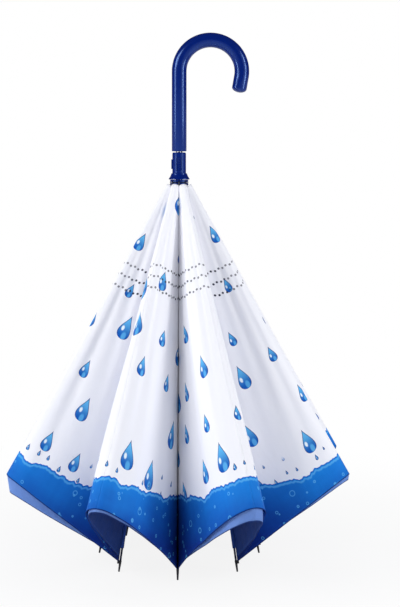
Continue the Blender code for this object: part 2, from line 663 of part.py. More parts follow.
def build_outer_canopy(finish):
    """The second layer, folded: from the notch up outside the stretchers, then down inside the ribs."""
    columns = 2 * OUTER_COLUMNS_PER_GORE * RIB_COUNT
    bm = bmesh.new()
    lines = []
    for column in range(columns):
        turn = column / (2 * OUTER_COLUMNS_PER_GORE)
        share = 1 - abs(1 - 2 * (turn - math.floor(turn)))
        azimuth = FIRST_RIB_AZIMUTH + turn * RIB_PITCH
        lines.append(
            [
                bm.verts.new((radius * math.cos(azimuth), radius * math.sin(azimuth), height))
                for radius, height in outer_rings(share)
            ]
        )
    for column in range(columns):
        before, here = lines[column - 1], lines[column]
        for row in range(len(here) - 1):
            bm.faces.new((before[row], here[row], here[row + 1], before[row + 1]))
    bmesh.ops.recalc_face_normals(bm, faces=bm.faces)
    bmesh.ops.solidify(bm, geom=bm.faces, thickness=FABRIC_THICKNESS)
    finish_mesh("outer_canopy", bm, finish, smooth_angle=60)


def main():
    clear_scene()
    plastic = material("blue_gloss_plastic", (0.004, 0.03, 0.30), 0.22)
    grip_rubber = material("blue_grip", (0.004, 0.025, 0.25), 0.45)
    steel = material("dark_steel", (0.12, 0.12, 0.13), 0.35, 1.0)
    fibreglass = material("black_fibreglass", (0.02, 0.02, 0.025), 0.4)
    tip_plastic = material("black_tip", (0.03, 0.03, 0.035), 0.35)
    print_cloth = material("printed_pongee", (0.86, 0.87, 0.92), 0.6)
    blue_cloth = material("blue_pongee", (0.03, 0.12, 0.5), 0.6)
    build_handle(plastic)
    build_shaft(steel)
    build_notch(plastic, steel)
    build_ferrule(plastic)
    build_runner(plastic, steel, grip_rubber)
    for index in range(RIB_COUNT):
        build_rib(index, fibreglass, tip_plastic)
        build_stretcher(index, steel)
        for side in (1, -1):
            build_half_gore(index, side, print_cloth)
    build_outer_canopy(blue_cloth)


main()
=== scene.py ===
"""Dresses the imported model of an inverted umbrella: handle, runner, both canopy layers and frame."""

import json
import math

import bmesh
import bpy
from mathutils import Matrix, Vector, noise


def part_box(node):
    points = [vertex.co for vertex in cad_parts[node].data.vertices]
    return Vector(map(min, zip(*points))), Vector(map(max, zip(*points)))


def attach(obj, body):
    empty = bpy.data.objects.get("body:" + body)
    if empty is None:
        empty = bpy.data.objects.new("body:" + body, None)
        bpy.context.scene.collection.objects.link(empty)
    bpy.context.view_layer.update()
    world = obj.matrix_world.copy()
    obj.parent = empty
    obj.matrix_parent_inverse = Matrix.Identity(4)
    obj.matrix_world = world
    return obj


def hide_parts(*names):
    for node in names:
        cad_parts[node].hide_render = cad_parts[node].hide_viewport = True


bl_info = {
    "name": "Inverted Umbrella",
    "version": (1, 0, 0),
    "blender": (4, 5, 0),
    "location": "View3D > Sidebar > Umbrella",
    "description": "Builds the visible pieces of an inverted umbrella round its packed frame",
    "category": "Add Mesh",
}

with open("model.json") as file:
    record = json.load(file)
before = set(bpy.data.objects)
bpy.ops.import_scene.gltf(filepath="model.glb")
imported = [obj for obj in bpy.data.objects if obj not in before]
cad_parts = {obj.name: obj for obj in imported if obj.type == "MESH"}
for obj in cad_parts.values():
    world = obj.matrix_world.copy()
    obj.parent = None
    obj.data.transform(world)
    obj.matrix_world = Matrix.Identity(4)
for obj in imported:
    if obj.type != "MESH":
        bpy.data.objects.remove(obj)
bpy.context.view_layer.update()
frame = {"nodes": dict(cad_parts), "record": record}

MM = 0.001
UP = Vector((0, 0, 1))
JOINTS = {joint["name"]: joint for joint in frame["record"]["behaviour"]["joints"]}
RIB_COUNT = sum(name.startswith("rib_hinge_") for name in JOINTS)
PITCH = 2 * math.pi / RIB_COUNT


# Places that come from the frame.

def joint_point(name):
    return Vector(JOINTS[name]["pos_m"])


def joint_axis(name):
    return Vector(JOINTS[name]["axis"]).normalized()


def joint_swing(name):
    return math.radians(JOINTS[name]["range_deg"][1])


def turn_about(point, axis, angle):
    there = Matrix.Translation(point)
    return there @ Matrix.Rotation(angle, 4, axis) @ there.inverted()


def rib_frame(index):
    """The turn from a rib's own axes (X outwards, Y to its left, Z up) to the umbrella's."""
    left = -joint_axis(f"rib_hinge_{index}")
    outward = left.cross(UP).normalized()
    return Matrix((outward, left, UP)).transposed()


def own_axes(vector):
    """A vector of the frame, in the axes of rib 0."""
    return rib_frame(0).transposed() @ vector


HINGE = own_axes(joint_point("rib_hinge_0"))
FOLD = own_axes(joint_point("fold_0_left"))
RIB_WAY = own_axes(-joint_axis("fold_0_left"))
SEAM_NORMAL = Vector((-math.sin(PITCH / 2), math.cos(PITCH / 2), 0))
SEAM_OUTWARD = Vector((math.cos(PITCH / 2), math.sin(PITCH / 2), 0))


def seam_line():
    """Where both halves of a gore meet: in the gore's middle plane, both closed and open."""
    swing = turn_about(HINGE, Vector((0, -1, 0)), joint_swing("rib_hinge_0"))
    motion = swing @ turn_about(FOLD, -RIB_WAY, joint_swing("fold_0_left"))
    open_normal = motion.to_3x3().transposed() @ SEAM_NORMAL
    along = SEAM_NORMAL.cross(open_normal).normalized()
    if along.z > 0:
        along.negate()
    rows = Matrix((SEAM_NORMAL, open_normal, along))
    start = rows.inverted() @ Vector((0, -SEAM_NORMAL.dot(motion.translation), along.dot(FOLD)))
    return start, along


SEAM_START, SEAM_WAY = seam_line()
SKIRT_LOW, SKIRT_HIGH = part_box("runner_skirt")
SLEEVE_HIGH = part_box("runner_sleeve")[1]
HANDLE_LOW, HANDLE_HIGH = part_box("crook_handle")
GRIP_LOW, GRIP_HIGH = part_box("thumb_grip")


# Sizes and colours that a user may change.

class CanopySizes(bpy.types.PropertyGroup):
    """Sizes of the two canopy layers."""

    rib_end: bpy.props.FloatProperty(
        name="Cloth along a rib", description="From the hinge to the cloth's corner at the rib tip",
        default=0.5655, unit="LENGTH",
    )
    seam_end: bpy.props.FloatProperty(
        name="Cloth along a gore's middle", description="From the hub to the hem, midway between two ribs",
        default=0.4945, unit="LENGTH",
    )
    flare: bpy.props.FloatProperty(
        name="Flare beside a rib", description="Angle at which the cloth leaves a rib",
        default=math.radians(23), subtype="ANGLE",
    )
    pleat: bpy.props.FloatProperty(
        name="Pleat depth", description="Depth of the soft folds that run down the cloth",
        default=0.0105, unit="LENGTH",
    )
    thickness: bpy.props.FloatProperty(
        name="Cloth thickness", description="Thickness of one layer of cloth",
        default=0.0004, unit="LENGTH",
    )


class PrintColours(bpy.types.PropertyGroup):
    """Colours of the canopy's print and of its plain layer."""

    ground: bpy.props.FloatVectorProperty(
        name="Ground", description="Colour of the unprinted cloth",
        default=(0.93, 0.93, 0.97), subtype="COLOR",
    )
    drop_light: bpy.props.FloatVectorProperty(
        name="Drop, light", description="Colour at a drop's point",
        default=(0.12, 0.50, 0.88), subtype="COLOR",
    )
    drop_deep: bpy.props.FloatVectorProperty(
        name="Drop, deep", description="Colour at a drop's belly",
        default=(0.0, 0.10, 0.50), subtype="COLOR",
    )
    water_light: bpy.props.FloatVectorProperty(
        name="Border, top", description="Colour of the blue border's top",
        default=(0.005, 0.22, 0.74), subtype="COLOR",
    )
    water_deep: bpy.props.FloatVectorProperty(
        name="Border, hem", description="Colour of the blue border at the hem",
        default=(0.0, 0.045, 0.36), subtype="COLOR",
    )
    lining: bpy.props.FloatVectorProperty(
        name="Plain layer", description="Colour of the second layer, towards the printed one",
        default=(0.17, 0.30, 0.68), subtype="COLOR",
    )
    # Painted shade: the plain layer's other side, towards the shaft, is a darker copy of its colour.
    lining_shaded: bpy.props.FloatVectorProperty(
        name="Plain layer, back", description="Colour of the second layer's other side",
        default=(0.02, 0.08, 0.36), subtype="COLOR",
    )


class PlasticLook(bpy.types.PropertyGroup):
    """Colour and gloss of the moulded parts."""

    colour: bpy.props.FloatVectorProperty(
        name="Plastic", description="Colour of the handle and the runner",
        default=(0.0, 0.010, 0.145), subtype="COLOR",
    )
    roughness: bpy.props.FloatProperty(
        name="Roughness", description="Roughness of the moulded plastic",
        default=0.21, min=0, max=1, subtype="FACTOR",
    )


GROUPS = (("canopy_sizes", CanopySizes), ("print_colours", PrintColours), ("plastic_look", PlasticLook))


def sizes():
    return bpy.context.scene.canopy_sizes


def colours():
    return bpy.context.scene.print_colours


# Node trees and materials.

class Shade:
    """A node socket. Arithmetic on it adds Math nodes to its tree."""

    def __init__(self, tree, socket):
        self.tree, self.socket = tree, socket

    def combined(self, operation, first, second=0.0):
        return self.tree.add("ShaderNodeMath", {"operation": operation}, {0: first, 1: second})

    def __add__(self, other):
        return self.combined("ADD", self, other)

    def __sub__(self, other):
        return self.combined("SUBTRACT", self, other)

    def __rsub__(self, other):
        return self.combined("SUBTRACT", other, self)

    def __mul__(self, other):
        return self.combined("MULTIPLY", self, other)

    def __truediv__(self, other):
        return self.combined("DIVIDE", self, other)

    def __pow__(self, other):
        return self.combined("POWER", self, other)

    def __mod__(self, other):
        return self.combined("FLOORED_MODULO", self, other)

    def __lt__(self, other):
        return self.combined("LESS_THAN", self, other)

    def __gt__(self, other):
        return self.combined("GREATER_THAN", self, other)

    def __abs__(self):
        return self.combined("ABSOLUTE", self)

    __radd__ = __add__

    def floor(self):
        return self.combined("FLOOR", self)

    def least(self, other):
        return self.combined("MINIMUM", self, other)

    def most(self, other):
        return self.combined("MAXIMUM", self, other)

    def step(self, low, high):
        """0 below low and 1 above high, smooth between them."""
        settings = {"interpolation_type": "SMOOTHSTEP"}
        ends = {"Value": self, "From Min": low, "From Max": high}
        return self.tree.add("ShaderNodeMapRange", settings, ends)

    def part(self, name):
        """One of X, Y and Z of a vector."""
        return self.tree.add("ShaderNodeSeparateXYZ", {}, {"Vector": self}, name)


class Finish:
    """The node tree of a new material or world, built from Shade values."""

    def __init__(self, name, kind="materials"):
        self.owner = getattr(bpy.data, kind).new(name)
        self.owner.use_nodes = True
        self.nodes = self.owner.node_tree.nodes
        self.nodes.clear()

    def add(self, kind, settings, inputs, output=0):
        """Adds a node: settings first, then the values or links of its sockets."""
        node = self.nodes.new(kind)
        for name, value in settings.items():
            setattr(node, name, value)
        for name, value in inputs.items():
            if isinstance(value, Shade):
                self.owner.node_tree.links.new(value.socket, node.inputs[name])
            else:
                node.inputs[name].default_value = value
        return Shade(self, node.outputs[output])

    def mix(self, share, first, second):
        """A colour between two."""
        settings = {"data_type": "RGBA"}
        return self.add("ShaderNodeMix", settings, {0: share, 6: rgba(first), 7: rgba(second)}, 2)

    def vector(self, x, y, z=0.0):
        return self.add("ShaderNodeCombineXYZ", {}, {"X": x, "Y": y, "Z": z})

    def uv(self, name):
        return self.add("ShaderNodeUVMap", {"uv_map": name}, {})

    def place(self):
        return self.add("ShaderNodeTexCoord", {}, {}, "Object")

    def noise(self, where, scale, detail=2.0):
        return self.add("ShaderNodeTexNoise", {}, {"Vector": where, "Scale": scale, "Detail": detail})

    def bump(self, height, distance, strength=1.0, after=None):
        inputs = {"Height": height, "Distance": distance, "Strength": strength}
        if after is not None:
            inputs["Normal"] = after
        return self.add("ShaderNodeBump", {}, inputs)

    def surface(self, **sockets):
        """Ends the tree in a Principled shader. Names use _ for the space in a socket's name."""
        inputs = {name.replace("_", " "): rgba(value) for name, value in sockets.items()}
        shader = self.add("ShaderNodeBsdfPrincipled", {}, inputs)
        return self.ended(shader)

    def ended(self, shader, kind="ShaderNodeOutputMaterial"):
        """Links the shader to an output node and returns the material or world."""
        output = self.nodes.new(kind)
        self.owner.node_tree.links.new(shader.socket, output.inputs["Surface"])
        return self.owner


def rgba(value):
    """A colour of three numbers gets its alpha. Anything else stays."""
    if isinstance(value, Shade) or not hasattr(value, "__len__"):
        return value
    return (*value, 1.0)[:4]


# The print is laid out on the flat cloth: across from a gore's middle, and down from the hub.
CELL_WIDTH = 56 * MM
CELL_HEIGHT = 66 * MM
DROP_LEAST = 22 * MM
DROP_SPARE = 22 * MM
DROPS_KEPT_SHARE = 0.85
BEAD_CELL_WIDTH = 17 * MM
BEAD_CELL_HEIGHT = 26 * MM
BEAD_LEAST = 6 * MM
BEAD_SPARE = 6 * MM
BEADS_KEPT_SHARE = 0.34
BEAD_SHIFT = 11 * MM
BEAD_SEED = 50.0
BEADS_ABOVE_BORDER = (34 * MM, 24 * MM)

# A drop's own shape and shading, in shares of its length.
JITTER_SHARES = (0.36, 0.30)
KEEP_FACTORS = (7.31, 3.17)
DROP_BELLY = 0.26
DROP_PEAK = 0.325
DROP_RIM = 0.25 * MM
OUTLINE = 1.5 * MM
OUTLINE_SOLID_SHARE = 0.4
DEEPENING_SHARES = (0.15, 0.95)
CRESCENT = (0.86, 0.06, 0.12)
CRESCENT_STRENGTH = 0.75
SPARKLE = (0.60, -0.10, 0.075)
GLINT_SQUASH = 0.35
GLINT_CORE_SHARE = 0.5
SPARKLE_COLOUR = (0.85, 0.95, 1.0)
OUTLINE_COLOUR = (0.0, 0.035, 0.20)

BORDER_TOP = 460 * MM
BORDER_DEPTH = 70 * MM
BORDER_EDGE = 0.5 * MM
# Height, scale across and factor of the seed, for the long waves and for the ripples on them.
WAVES = (22 * MM, 26.0, 3.7)
RIPPLES = (9 * MM, 120.0, 5.1)
BUBBLE_SIZES = ((26 * MM, 4.2 * MM), (15 * MM, 1.9 * MM))
BUBBLE_RING = (0.25 * MM, 0.8 * MM)
BUBBLE_STRENGTH = 0.6
SURFACE_LINE = (0.6 * MM, 2.2 * MM)
SURFACE_LINE_COLOUR = (0.0, 0.09, 0.48)
SURFACE_LINE_STRENGTH = 0.75
PALE_BAND = (2.5 * MM, 3.5 * MM, 4.5 * MM, 7 * MM)
PALE_BAND_STRENGTH = 0.6
# Painted shade: the border darkens towards the ribs, where the cloth folds into shadow.
RIB_SHADE_REACH = 200 * MM
RIB_SHADE_COLOUR = (0.0, 0.02, 0.20)
RIB_SHADE_STRENGTH = 0.8
WATER_SCALES = (14.0, 30.0)
WATER_CLOUDING = 0.6

VENT_PITCH = 6.2 * MM
VENT_RADIUS = 2.0 * MM
VENT_CORE_SHARE = 0.7
VENT_ROW_GAP = 18 * MM
VENT_ROWS = 3
VENT_LAST = 179 * MM
VENT_JOG = 1.6 * MM
# Painted shade: the vent holes are coloured near black for the shade seen through them, a little fainter in
# a gore's middle.
VENT_SHADE_COLOUR = (0.02, 0.022, 0.05)
VENT_SHADE_FADE = (15 * MM, 45 * MM)
VENT_SHADE_STRENGTH = 0.75

COOL_WHITE = (0.86, 0.87, 0.95)
MOTTLE_SCALE = 9.0
MOTTLE_STRENGTH = 0.35
BINDING_COLOUR = (0.0, 0.02, 0.16)
PRINT_BINDING = (1.2 * MM, 1.7 * MM)
LINING_BINDING = (1.0 * MM, 1.5 * MM)
BINDING_STRENGTH = 0.9
STITCH_FROM_HEM = 7 * MM
STITCH_WIDTH = (0.3 * MM, 0.7 * MM)
STITCH_PITCH = 3.2 * MM
STITCH_GAP_SHARE = 0.35
WEAVE_SCALE = 400.0
WEAVE_STRENGTH = 0.4
VENT_DENT = 2.0
FINE_DEPTH = 0.15 * MM
FINE_STRENGTH = 0.5
CREASE_DEPTH = 3 * MM
PRINT_CREASE_STRENGTH = 0.35
PLAIN_CREASE_STRENGTH = 0.6
PLAIN_CLOUD_STRENGTH = 0.6
# The least roughness of each layer, and what is added where its cloth is mottled.
PRINT_ROUGHNESS = (0.7, 0.1)
PLAIN_ROUGHNESS = (0.6, 0.1)
PRINT_SHINE = 0.2
PLAIN_SHINE = 0.25
# How many creases and clouds there are to the metre, across and down.
PRINT_CREASES = (10.0, 4.0)
PLAIN_CREASES = (12.0, 8.0)
PLAIN_CLOUDS = 30.0


def teardrops(tree, across, down, seed, cell, lengths, kept):
    """(mask, outline, length share, side share) of one drop in each kept cell of a jittered grid.

    cell is its width and height, lengths the least length of a drop and what may be added to it, and
    kept the share of the cells that hold a drop.
    """
    width, height = cell
    least, spare = lengths
    row = (down / height).floor()
    column_place = across / width + (row % 2.0) * 0.5
    column = column_place.floor()
    where = {"Vector": tree.vector(column, row, seed)}
    chance = tree.add("ShaderNodeTexWhiteNoise", {"noise_dimensions": "3D"}, where, "Color")
    spread, lift, size = (
        tree.add("ShaderNodeSeparateColor", {}, {"Color": chance}, channel)
        for channel in ("Red", "Green", "Blue")
    )
    tall = size * spare + least
    x = (column_place - column - 0.5) * width - (spread - 0.5) * (width * JITTER_SHARES[0])
    y = (down / height - row - 0.5) * height - (lift - 0.5) * (height * JITTER_SHARES[1])
    share = y / tall + 0.5
    inside = share.most(0.0).least(1.0)
    half = (inside ** 1.5) * ((1.0 - inside) ** 0.5) * tall * (DROP_BELLY / DROP_PEAK)
    depth = half - abs(x)
    keep = ((size * KEEP_FACTORS[0] + spread * KEEP_FACTORS[1]) % 1.0) < kept
    mask = depth.step(0.0, DROP_RIM) * keep
    line = mask * (1.0 - depth.step(OUTLINE * OUTLINE_SOLID_SHARE, OUTLINE))
    return mask, line, inside, x / tall


def glint(share, side, spot):
    """A soft light spot inside a drop. spot is (length share, side share, radius)."""
    at_share, at_side, radius = spot
    low, aside = share - at_share, side - at_side
    far = (low * low * GLINT_SQUASH + aside * aside) ** 0.5
    return 1.0 - far.step(radius * GLINT_CORE_SHARE, radius)


def drop_colour(tree, ground, field, look):
    """The ground with its drops: light at the point, deep below, with a dark outline and two glints."""
    mask, line, share, side = field
    body = tree.mix(share.step(*DEEPENING_SHARES), look.drop_light, look.drop_deep)
    body = tree.mix(glint(share, side, CRESCENT) * CRESCENT_STRENGTH, body, look.drop_light)
    body = tree.mix(glint(share, side, SPARKLE), body, SPARKLE_COLOUR)
    body = tree.mix(line, body, OUTLINE_COLOUR)
    return tree.mix(mask, ground, body)


def vent_holes(across, reach):
    """1 in the small holes of the vent rows."""
    place = across / VENT_PITCH
    along = (place % 1.0 - 0.5) * VENT_PITCH
    slant = reach + (place.floor() % 2.0) * VENT_JOG - VENT_LAST
    near = None
    for row in range(VENT_ROWS):
        off = slant + row * VENT_ROW_GAP
        far = (along * along + off * off) ** 0.5
        near = far if near is None else near.least(far)
    return 1.0 - near.step(VENT_RADIUS * VENT_CORE_SHARE, VENT_RADIUS)


def bubbles(tree, across, down, seed, pitch, radius):
    """Thin rings of scattered bubbles."""
    where = tree.vector(across / pitch, down / pitch, seed)
    settings = {"voronoi_dimensions": "3D", "feature": "F1"}
    far = tree.add("ShaderNodeTexVoronoi", settings, {"Vector": where, "Scale": 1.0}, "Distance")
    edge = abs(far * pitch - radius)
    return 1.0 - edge.step(*BUBBLE_RING)


def water_colour(tree, across, down, depth, seed, look):
    """The border's blue, deeper towards the hem, with painted shade that darkens it towards the ribs, and
    with bubbles and a line along its surface.
    """
    cloud = tree.noise(tree.vector(across * WATER_SCALES[0], down * WATER_SCALES[1], seed), 1.0, 3.0)
    deep = (depth / BORDER_DEPTH).most(0.0).least(1.0) + (cloud - 0.5) * WATER_CLOUDING
    deep = deep.most(0.0).least(1.0)
    blue = tree.mix(deep, look.water_light, look.water_deep)
    # Painted shade, darker towards the ribs.
    blue = tree.mix((abs(across) / RIB_SHADE_REACH) ** 2.0 * RIB_SHADE_STRENGTH, blue, RIB_SHADE_COLOUR)
    for pitch, radius in BUBBLE_SIZES:
        rings = bubbles(tree, across, down, seed, pitch, radius)
        blue = tree.mix(rings * BUBBLE_STRENGTH, blue, look.drop_light)
    blue = tree.mix((1.0 - depth.step(*SURFACE_LINE)) * SURFACE_LINE_STRENGTH, blue, SURFACE_LINE_COLOUR)
    band = depth.step(*PALE_BAND[:2]) * (1.0 - depth.step(*PALE_BAND[2:]))
    return tree.mix(band * PALE_BAND_STRENGTH, blue, look.drop_light)


def printed_cloth():
    """White pongee with blue drops, rows of vent holes and a blue water border at the hem."""
    look = colours()
    tree = Finish("printed_pongee")
    flat, place = tree.uv("Cut"), tree.uv("Edge")
    across, down = flat.part("X"), flat.part("Y")
    reach = (across * across + down * down) ** 0.5
    hem, seed = place.part("X"), (place.part("Y") + 0.5).floor()
    mottle = tree.noise(tree.place(), MOTTLE_SCALE)
    ground = tree.mix(mottle * MOTTLE_STRENGTH, look.ground, COOL_WHITE)
    big = teardrops(
        tree, across, down, seed, (CELL_WIDTH, CELL_HEIGHT), (DROP_LEAST, DROP_SPARE), DROPS_KEPT_SHARE,
    )
    colour = drop_colour(tree, ground, big, look)
    mask, line, share, side = teardrops(
        tree, across, down + BEAD_SHIFT, seed + BEAD_SEED, (BEAD_CELL_WIDTH, BEAD_CELL_HEIGHT),
        (BEAD_LEAST, BEAD_SPARE), BEADS_KEPT_SHARE,
    )
    zone = reach.step(*(BORDER_TOP - above for above in BEADS_ABOVE_BORDER))
    colour = drop_colour(tree, colour, (mask * zone, line * zone, share, side), look)
    wave, ripple = (
        (tree.noise(tree.vector(across * scale, seed * factor), 1.0, detail) - 0.5) * height
        for (height, scale, factor), detail in ((WAVES, 0.0), (RIPPLES, 1.0))
    )
    depth = reach - (wave + ripple + BORDER_TOP)
    blue = water_colour(tree, across, down, depth, seed, look)
    colour = tree.mix(depth.step(0.0, BORDER_EDGE), colour, blue)
    binding = (1.0 - hem.step(*PRINT_BINDING)) * BINDING_STRENGTH
    colour = tree.mix(binding, colour, BINDING_COLOUR)
    vents = vent_holes(across, reach)
    # Painted shade in the vent holes, fainter in a gore's middle. The cloth stays whole there.
    vent_shade = VENT_SHADE_STRENGTH + abs(across).step(*VENT_SHADE_FADE) * (1.0 - VENT_SHADE_STRENGTH)
    colour = tree.mix(vents * vent_shade, colour, VENT_SHADE_COLOUR)
    settings = {"wave_type": "BANDS", "bands_direction": "X"}
    weave = tree.add("ShaderNodeTexWave", settings, {"Vector": flat, "Scale": WEAVE_SCALE})
    beside = 1.0 - abs(hem - STITCH_FROM_HEM).step(*STITCH_WIDTH)
    stitch = beside * ((across / STITCH_PITCH) % 1.0 > STITCH_GAP_SHARE)
    crease = tree.noise(tree.vector(across * PRINT_CREASES[0], down * PRINT_CREASES[1], seed), 4.0, 3.0)
    fine = tree.bump(weave * WEAVE_STRENGTH + stitch - vents * VENT_DENT, FINE_DEPTH, FINE_STRENGTH)
    least, spare = PRINT_ROUGHNESS
    return tree.surface(
        Base_Color=colour,
        Roughness=least + mottle * spare,
        Specular_IOR_Level=PRINT_SHINE,
        Normal=tree.bump(crease, CREASE_DEPTH, PRINT_CREASE_STRENGTH, fine),
    )


def plain_cloth(name, light, deep):
    """Plain pongee between two blues."""
    tree = Finish(name)
    flat, place = tree.uv("Cut"), tree.uv("Edge")
    across, down = flat.part("X"), flat.part("Y")
    hem, seed = place.part("X"), place.part("Y")
    cloud = tree.noise(tree.vector(across * PLAIN_CLOUDS, down * PLAIN_CLOUDS, seed), 1.0, 3.0)
    colour = tree.mix(cloud * PLAIN_CLOUD_STRENGTH, tuple(light), deep)
    binding = (1.0 - hem.step(*LINING_BINDING)) * BINDING_STRENGTH
    colour = tree.mix(binding, colour, BINDING_COLOUR)
    crease = tree.noise(tree.vector(across * PLAIN_CREASES[0], down * PLAIN_CREASES[1], seed), 5.0, 4.0)
    least, spare = PLAIN_ROUGHNESS
    return tree.surface(
        Base_Color=colour,
        Roughness=least + cloud * spare,
        Specular_IOR_Level=PLAIN_SHINE,
        Normal=tree.bump(crease, CREASE_DEPTH, PLAIN_CREASE_STRENGTH),
    )


POLISH_TINT = (0.25, 0.48, 1.0)
POLISH_LEVEL = 0.9
COAT_WEIGHT = 0.1
COAT_ROUGHNESS = 0.2
MOULD_CLOUDS = 40.0
MOULD_SMEARS = 160.0
MOULD_CLOUD_LIGHTER = 1.25
MOULD_MARKS = 0.02 * MM
GLOSS_CHANGE = 0.06

TOOL_MARKS = 0.05 * MM
SMEAR_TINT_SHARE = 0.6
STEEL_SMEARS = 220.0
STEEL_SMEAR_LIGHTER = 1.4
STEEL_ROUGHNESS_SPARE = 0.15
ROD_SMEARS = 300.0
ROD_SMEAR_LIGHTER = 1.8
ROD_SMEAR_LIFT = 0.01
ROD_ROUGHNESS = 0.3
ROD_ROUGHNESS_SPARE = 0.2


def glossy_plastic(name, colour, roughness):
    """Moulded plastic, with clouding and smears that change its gloss."""
    tree = Finish(name)
    where = tree.place()
    cloud = tree.noise(where, MOULD_CLOUDS)
    smear = tree.noise(where, MOULD_SMEARS, 4.0)
    lighter = tuple(channel * MOULD_CLOUD_LIGHTER for channel in colour)
    return tree.surface(
        Base_Color=tree.mix(cloud * 0.5, tuple(colour), lighter),
        Roughness=smear * GLOSS_CHANGE + (roughness - GLOSS_CHANGE / 2),
        Specular_IOR_Level=POLISH_LEVEL,
        Specular_Tint=POLISH_TINT,
        Coat_Weight=COAT_WEIGHT,
        Coat_Roughness=COAT_ROUGHNESS,
        Normal=tree.bump(cloud, MOULD_MARKS, 0.05),
    )


def metal(name, colour, roughness):
    """Drawn steel."""
    tree = Finish(name)
    smear = tree.noise(tree.place(), STEEL_SMEARS, 4.0)
    lighter = tuple(channel * STEEL_SMEAR_LIGHTER for channel in colour)
    return tree.surface(
        Base_Color=tree.mix(smear * SMEAR_TINT_SHARE, tuple(colour), lighter),
        Metallic=1.0,
        Roughness=smear * STEEL_ROUGHNESS_SPARE + roughness,
        Normal=tree.bump(smear, TOOL_MARKS, 0.3),
    )


def matt_rod(name, colour):
    """Fibreglass or nylon with a dull surface."""
    tree = Finish(name)
    smear = tree.noise(tree.place(), ROD_SMEARS, 3.0)
    lighter = tuple(channel * ROD_SMEAR_LIGHTER + ROD_SMEAR_LIFT for channel in colour)
    return tree.surface(
        Base_Color=tree.mix(smear * SMEAR_TINT_SHARE, tuple(colour), lighter),
        Roughness=smear * ROD_ROUGHNESS_SPARE + ROD_ROUGHNESS,
        Normal=tree.bump(smear, TOOL_MARKS, 0.4),
    )


# Tools that make shapes.

def extended(bm, edges, move):
    """Pulls a loop of edges out into a band, moves its new ring, and returns that ring's edges."""
    made = bmesh.ops.extrude_edge_only(bm, edges=edges)["geom"]
    ring = {part for part in made if isinstance(part, bmesh.types.BMVert)}
    bmesh.ops.transform(bm, matrix=move, verts=list(ring))
    return [part for part in made if isinstance(part, bmesh.types.BMEdge) and ring.issuperset(part.verts)]


def turned(bm, profile, place=Matrix.Identity(4), segments=72, edges=None):
    """A tube of rings at the profile's (radius, height) pairs.

    Where edges are given, the tube goes on from that ring. Returns the edges of its first and last rings.
    """
    radius, height = profile[0]
    if edges is None:
        at = place @ Matrix.Translation((0, 0, height))
        ring = bmesh.ops.create_circle(bm, segments=segments, radius=radius, matrix=at)["verts"]
        edges = list({edge for vert in ring for edge in vert.link_edges})
    first = edges
    for next_radius, next_height in profile[1:]:
        share = next_radius / radius
        step = Matrix.Translation((0, 0, next_height)) @ Matrix.Diagonal((share, share, 1, 1))
        step = step @ Matrix.Translation((0, 0, -height))
        edges = extended(bm, edges, place @ step @ place.inverted())
        radius, height = next_radius, next_height
    return first, edges


DOME_STEPS = 8
DOME_LEAST_SHARE = 0.03


def rounded(radius, height, reach):
    """(radius, height) pairs of a dome of that reach on a ring."""
    pairs = []
    for step in range(DOME_STEPS + 1):
        angle = math.pi / 2 * step / DOME_STEPS
        share = max(math.cos(angle), DOME_LEAST_SHARE)
        pairs.append((radius * share, height + reach * math.sin(angle)))
    return pairs


def finished(bm, name, material, smooth_angle=math.radians(40), front=None):
    """Makes an object of the mesh, with its normals outwards and its gentle edges shaded smooth.

    front is the direction that an open sheet faces.
    """
    bmesh.ops.recalc_face_normals(bm, faces=bm.faces)
    if front is not None and sum(face.normal.dot(front) * face.calc_area() for face in bm.faces) < 0:
        bmesh.ops.reverse_faces(bm, faces=bm.faces)
    mesh = bpy.data.meshes.new(name)
    for face in bm.faces:
        face.smooth = True
    for edge in bm.edges:
        edge.smooth = len(edge.link_faces) != 2 or edge.calc_face_angle() < smooth_angle
    bm.to_mesh(mesh)
    bm.free()
    mesh.materials.append(material)
    piece = bpy.data.objects.new(name, mesh)
    bpy.context.scene.collection.objects.link(piece)
    return piece


# Handle and runner.

HANDLE_EDGE = 0.9 * MM
HANDLE_BEVEL_SHARE = 0.3
HOOK_TURN = math.radians(190)
HOOK_STEPS = 72
HOOK_END_STRAIGHT = 24.5 * MM
HOOK_END_REACH = 6.5 * MM
HANDLE_STRAIGHT = 123 * MM
GRIP_BEADS = 6
GRIP_BEAD_HEIGHT = 0.7 * MM
GRIP_FRAME = 1.0 * MM
GRIP_SUNK = 0.3 * MM
GRIP_BEAD_SHARE = 0.36
SKIRT_TOP_RADIUS = 12.2 * MM
SKIRT_BORE_SPARE = 0.1 * MM
SKIRT_LIP = 1.4 * MM
SKIRT_EDGE = 0.4 * MM
SKIRT_STEP = 0.5 * MM
SKIRT_STEP_RISE = 0.3 * MM
SKIRT_WAIST_OUT = 1.6 * MM
SKIRT_WAIST_RISE = 4.6 * MM
SKIRT_NECK_OUT = 0.2 * MM


